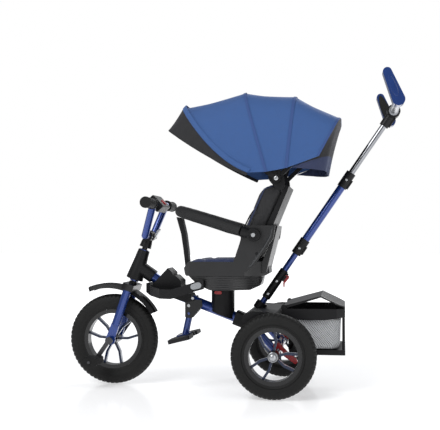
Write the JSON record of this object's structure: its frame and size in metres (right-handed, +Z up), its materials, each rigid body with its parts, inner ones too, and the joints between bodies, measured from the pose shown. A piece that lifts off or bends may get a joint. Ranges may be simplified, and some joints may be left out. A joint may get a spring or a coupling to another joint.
{
  "type": "children's tricycle",
  "caption": "Children's tricycle with swivel seat, folding canopy, safety bar, rear basket, folding foot pegs and a telescopic parent push bar.",
  "frame": {"origin": "on the floor, below the middle of the whole tricycle's bounding box", "axes": "+X forward along the tricycle, +Y to the rider's left, +Z up"},
  "size_m": [1.0944, 0.506, 0.9885],
  "materials": {
    "royal_paint": "metallic royal-blue paint",
    "black_plastic": "fine-grained black",
    "black_metal": "satin black paint",
    "steel": "zinc-plated",
    "grey_plastic": "mid grey",
    "mesh": "light grey mesh",
    "chrome": "polished",
    "satin_silver": "satin",
    "blue_plastic": "gloss blue",
    "red_plastic": "gloss red",
    "grip_rubber": "matte",
    "tyre": "matte black rubber",
    "rim_plastic": "black ring, navy and silver arms",
    "navy_fabric": "navy seat fabric",
    "black_fabric": "black padded fabric",
    "foam": "matte black foam",
    "webbing": "black webbing",
    "blue_cloth": "denim-blue woven cloth"
  },
  "bodies": {
    "frame": {"main_frame": "royal_paint", "head_cover": "black_plastic", "headset_bearings": "steel", "rear_housing": "black_plastic", "rear_subframe": "royal_paint", "rear_axle": "steel", "hub_bushes": "grey_plastic", "seat_pedestal": "black_plastic", "footboard": "black_plastic", "footboard_tips": "grey_plastic", "frame_screws": "steel", "peg_bracket": "black_metal", "basket_frame": "black_plastic", "basket_bag": "mesh", "bar_socket": "black_plastic", "push_tube_lower": "royal_paint"},
    "push_mid": {"push_tube_upper": "royal_paint", "push_collars": "black_plastic"},
    "handle_stem": {"chrome_tube": "chrome", "handle_knuckle": "black_plastic"},
    "handle": {"handle_yoke": "satin_silver", "handle_ears": "blue_plastic"},
    "socket_lever": {"socket_lever": "red_plastic"},
    "basket_lid": {"basket_lid": "black_plastic"},
    "peg_drop": {"peg_drop_tube": "royal_paint"},
    "peg_left": {"peg_left": "grey_plastic"},
    "peg_right": {"peg_right": "grey_plastic"},
    "brake": {"brake_pedal": "red_plastic"},
    "fork": {"fork_crown": "black_metal", "fork_legs": "royal_paint", "mudguard": "black_plastic", "stem_clamp": "black_plastic", "handlebar": "royal_paint", "bar_grips": "grip_rubber", "console": "black_plastic"},
    "stem_latch": {"stem_latch": "steel"},
    "button": {"console_button": "red_plastic"},
    "front_wheel": {"front_tyre": "tyre", "front_rim": "rim_plastic", "crank_set": "steel"},
    "pedal_left": {"pedal_left": "black_plastic"},
    "pedal_right": {"pedal_right": "black_plastic"},
    "rear_wheel_left": {"rear_tyre_left": "tyre", "rear_rim_left": "rim_plastic"},
    "rear_wheel_right": {"rear_tyre_right": "tyre", "rear_rim_right": "rim_plastic"},
    "seat_lock": {"seat_lock": "red_plastic"},
    "seat": {"seat_shell": "black_plastic", "seat_cushion": "navy_fabric"},
    "backrest": {"backrest_frame": "black_plastic", "backrest_pad": "black_fabric", "canopy_mount": "black_plastic", "harness": "webbing"},
    "bumper": {"bumper_bar": "foam", "crotch_post": "black_plastic"},
    "canopy_rear": {"canopy_bow_rear": "black_plastic", "canopy_rear_cloth": "blue_cloth"},
    "canopy_middle": {"canopy_bow_middle": "black_plastic"},
    "canopy_front": {"canopy_bow_front": "black_plastic", "canopy_front_cloth": "blue_cloth"}
  },
  "joints": [
    {"name": "steering", "type": "hinge", "parent": "frame", "child": "fork", "pos_m": [0.39573, 0, 0.15], "axis": [-0.3256, 0, 0.9455], "range_deg": [-35, 35]},
    {"name": "front_wheel_spin", "type": "hinge", "parent": "fork", "child": "front_wheel", "pos_m": [0.39573, 0, 0.15], "axis": [0, 1, 0], "continuous": true},
    {"name": "pedal_left_spin", "type": "hinge", "parent": "front_wheel", "child": "pedal_left", "pos_m": [0.4376, 0, 0.0902], "axis": [0, 1, 0], "continuous": true},
    {"name": "pedal_right_spin", "type": "hinge", "parent": "front_wheel", "child": "pedal_right", "pos_m": [0.35386, 0, 0.2098], "axis": [0, 1, 0], "continuous": true},
    {"name": "rear_left_spin", "type": "hinge", "parent": "frame", "child": "rear_wheel_left", "pos_m": [-0.15727, 0.215, 0.131], "axis": [0, 1, 0], "continuous": true},
    {"name": "rear_right_spin", "type": "hinge", "parent": "frame", "child": "rear_wheel_right", "pos_m": [-0.15727, -0.215, 0.131], "axis": [0, 1, 0], "continuous": true},
    {"name": "seat_swivel", "type": "hinge", "parent": "frame", "child": "seat", "pos_m": [0.02673, 0, 0.322], "axis": [0, 0, 1], "range_deg": [-90, 90]},
    {"name": "seat_lock_press", "type": "slide", "parent": "frame", "child": "seat_lock", "axis": [0, -1, 0], "range_m": [0, 0.004], "stiffness_N_per_m": 600},
    {"name": "backrest_recline", "type": "hinge", "parent": "seat", "child": "backrest", "pos_m": [-0.09927, 0, 0.438], "axis": [0, -1, 0], "range_deg": [-5, 4]},
    {"name": "canopy_fold", "type": "hinge", "parent": "backrest", "child": "canopy_rear", "pos_m": [-0.16227, 0, 0.671], "axis": [0, -1, 0], "range_deg": [0, 24], "deforming": ["canopy_rear_cloth"]},
    {"name": "canopy_fold_middle", "type": "hinge", "parent": "canopy_rear", "child": "canopy_middle", "pos_m": [-0.16227, 0, 0.671], "axis": [0, -1, 0], "range_deg": [0, 24]},
    {"name": "canopy_fold_front", "type": "hinge", "parent": "canopy_middle", "child": "canopy_front", "pos_m": [-0.16227, 0, 0.671], "axis": [0, -1, 0], "range_deg": [0, 24], "deforming": ["canopy_front_cloth"]},
    {"name": "bumper_lift", "type": "hinge", "parent": "seat", "child": "bumper", "pos_m": [-0.09127, 0, 0.496], "axis": [0, -1, 0], "range_deg": [0, 60]},
    {"name": "push_lower_slide", "type": "slide", "parent": "frame", "child": "push_mid", "axis": [-0.5664, 0, 0.8241], "range_m": [-0.055, 0]},
    {"name": "push_upper_slide", "type": "slide", "parent": "push_mid", "child": "handle_stem", "axis": [-0.5664, 0, 0.8241], "range_m": [-0.06, 0]},
    {"name": "handle_tilt", "type": "hinge", "parent": "handle_stem", "child": "handle", "pos_m": [-0.52774, 0, 0.89334], "axis": [0, 1, 0], "range_deg": [-30, 30]},
    {"name": "socket_lever_open", "type": "hinge", "parent": "frame", "child": "socket_lever", "pos_m": [-0.18213, 0, 0.36399], "axis": [0, 1, 0], "range_deg": [0, 55]},
    {"name": "basket_lid_open", "type": "hinge", "parent": "frame", "child": "basket_lid", "pos_m": [-0.18327, 0, 0.273], "axis": [0, 1, 0], "range_deg": [0, 48]},
    {"name": "brake_press", "type": "hinge", "parent": "frame", "child": "brake", "pos_m": [-0.16127, 0, 0.155], "axis": [0, -1, 0], "range_deg": [0, 12]},
    {"name": "peg_drop_fold", "type": "hinge", "parent": "frame", "child": "peg_drop", "pos_m": [0.13773, 0, 0.238], "axis": [0, 1, 0], "range_deg": [0, 55]},
    {"name": "peg_left_fold", "type": "hinge", "parent": "peg_drop", "child": "peg_left", "pos_m": [0.15497, 0.019, 0.16097], "axis": [0.9703, 0, -0.2419], "range_deg": [0, 70]},
    {"name": "peg_right_fold", "type": "hinge", "parent": "peg_drop", "child": "peg_right", "pos_m": [0.15497, -0.019, 0.16097], "axis": [-0.9703, 0, 0.2419], "range_deg": [0, 70]},
    {"name": "stem_latch_open", "type": "hinge", "parent": "fork", "child": "stem_latch", "pos_m": [0.26073, 0, 0.4883], "axis": [0, -1, 0], "range_deg": [0, 60]},
    {"name": "button_press", "type": "slide", "parent": "fork", "child": "button", "axis": [0.7314, 0, -0.682], "range_m": [0, 0.0015], "stiffness_N_per_m": 400}
  ],
  "couplings": [
    {"joint": "canopy_fold_middle", "follows": "canopy_fold", "ratio": 1},
    {"joint": "canopy_fold_front", "follows": "canopy_fold", "ratio": 1}
  ]
}
